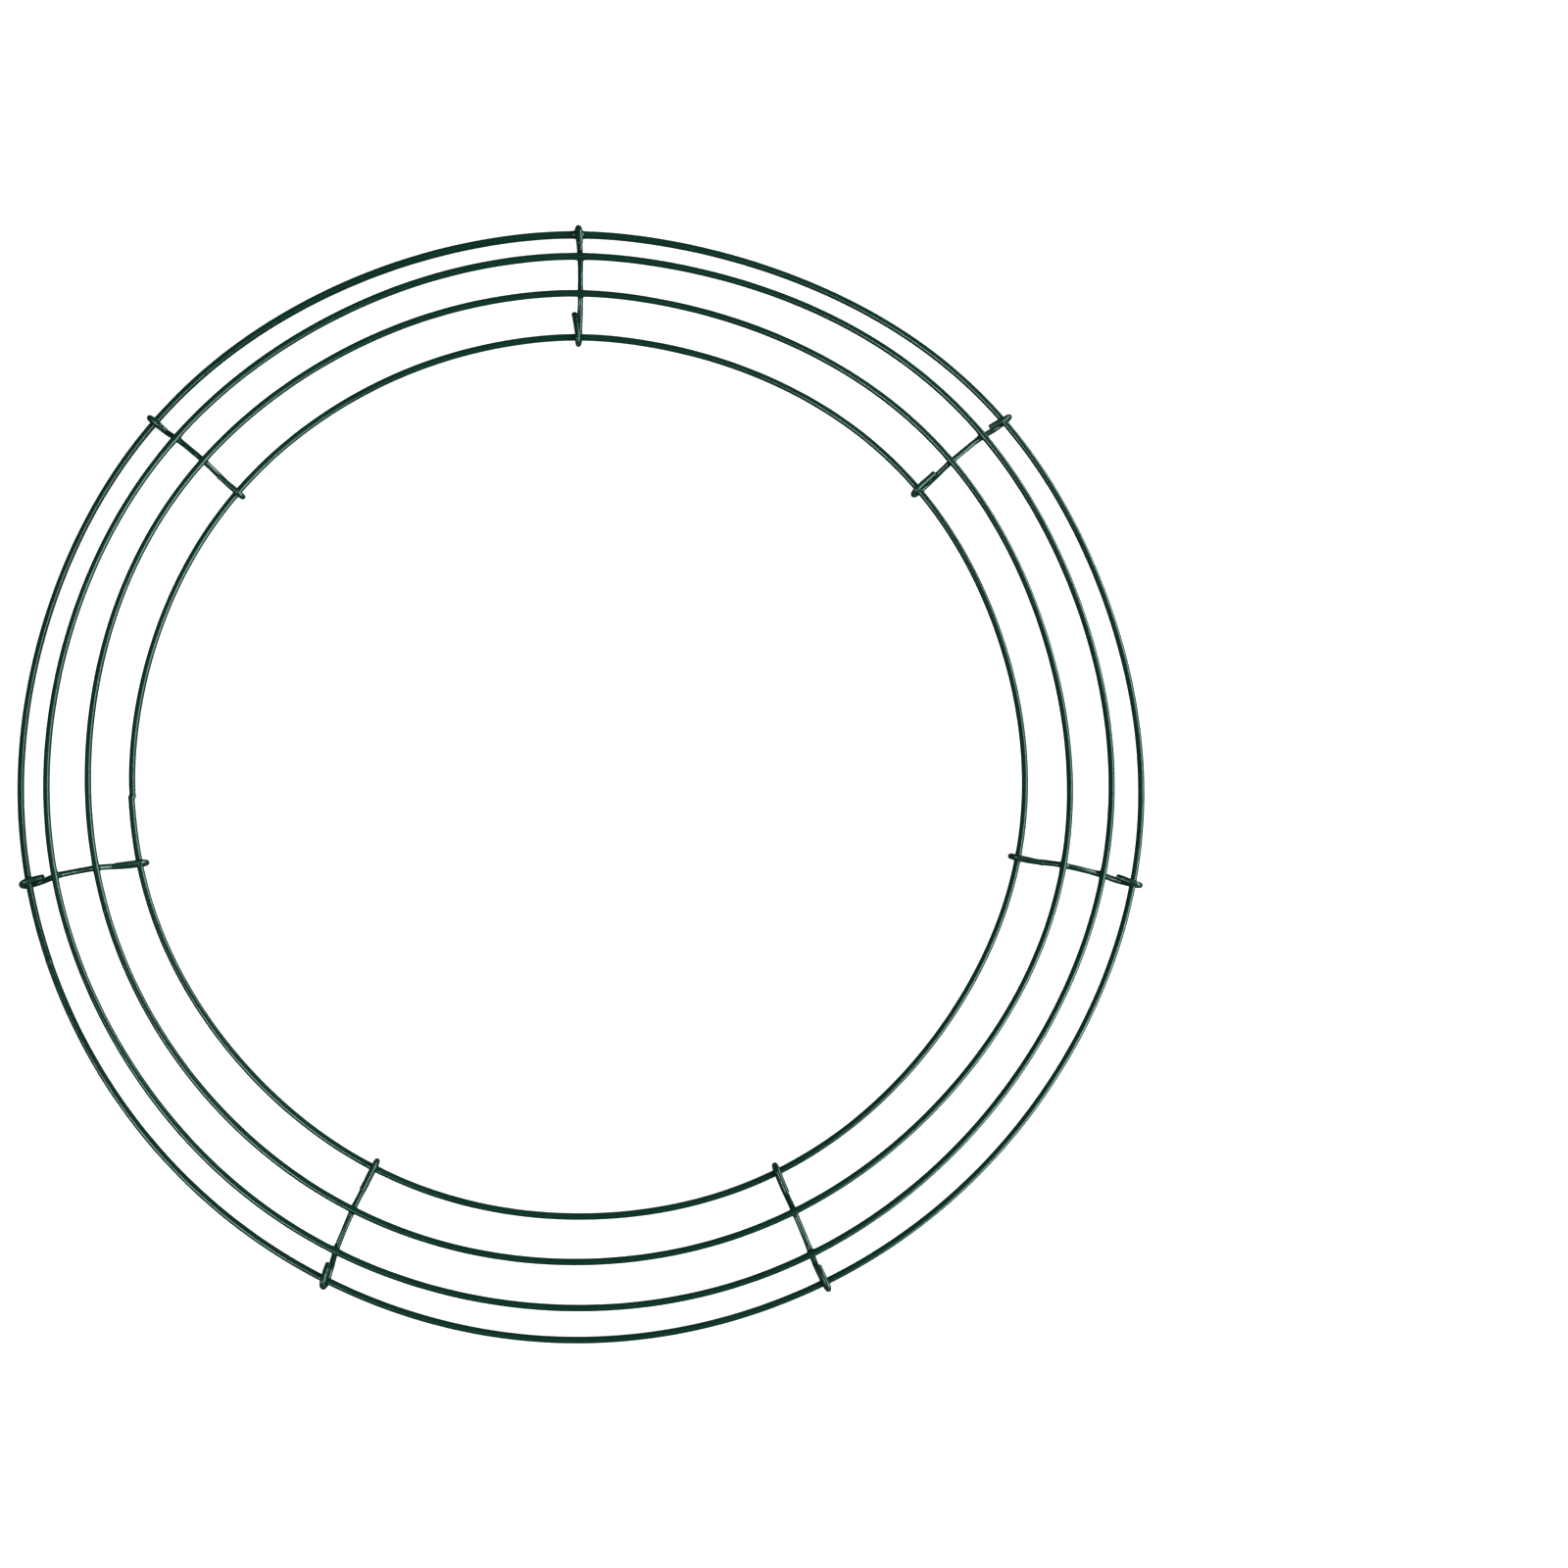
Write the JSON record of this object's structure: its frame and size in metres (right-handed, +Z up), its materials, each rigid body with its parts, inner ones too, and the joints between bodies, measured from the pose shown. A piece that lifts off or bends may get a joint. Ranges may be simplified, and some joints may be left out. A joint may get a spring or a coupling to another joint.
{
  "type": "wreath frame",
  "caption": "Round wire wreath frame: concentric wire rings held in a shallow arched channel by hooked radial crossbars, with a dark green enamel coating.",
  "frame": {"origin": "under the middle of the rings, on the surface that the frame lies on", "axes": "+Z up out of the surface, towards the crown of the arch; +Y towards crossbar_1, the top of the frame when it hangs up; +X to the right"},
  "size_m": [0.3043, 0.3064, 0.0084],
  "materials": {
    "ring_enamel": "semi-gloss dark green enamel over steel wire",
    "crossbar_enamel": "semi-gloss dark green enamel over steel wire, pooled at the hooks and welds"
  },
  "bodies": {
    "root": {"outer_ring": "ring_enamel", "second_ring": "ring_enamel", "third_ring": "ring_enamel", "inner_ring": "ring_enamel", "crossbar_1": "crossbar_enamel", "crossbar_2": "crossbar_enamel", "crossbar_3": "crossbar_enamel", "crossbar_4": "crossbar_enamel", "crossbar_5": "crossbar_enamel", "crossbar_6": "crossbar_enamel", "crossbar_7": "crossbar_enamel"}
  },
  "joints": []
}
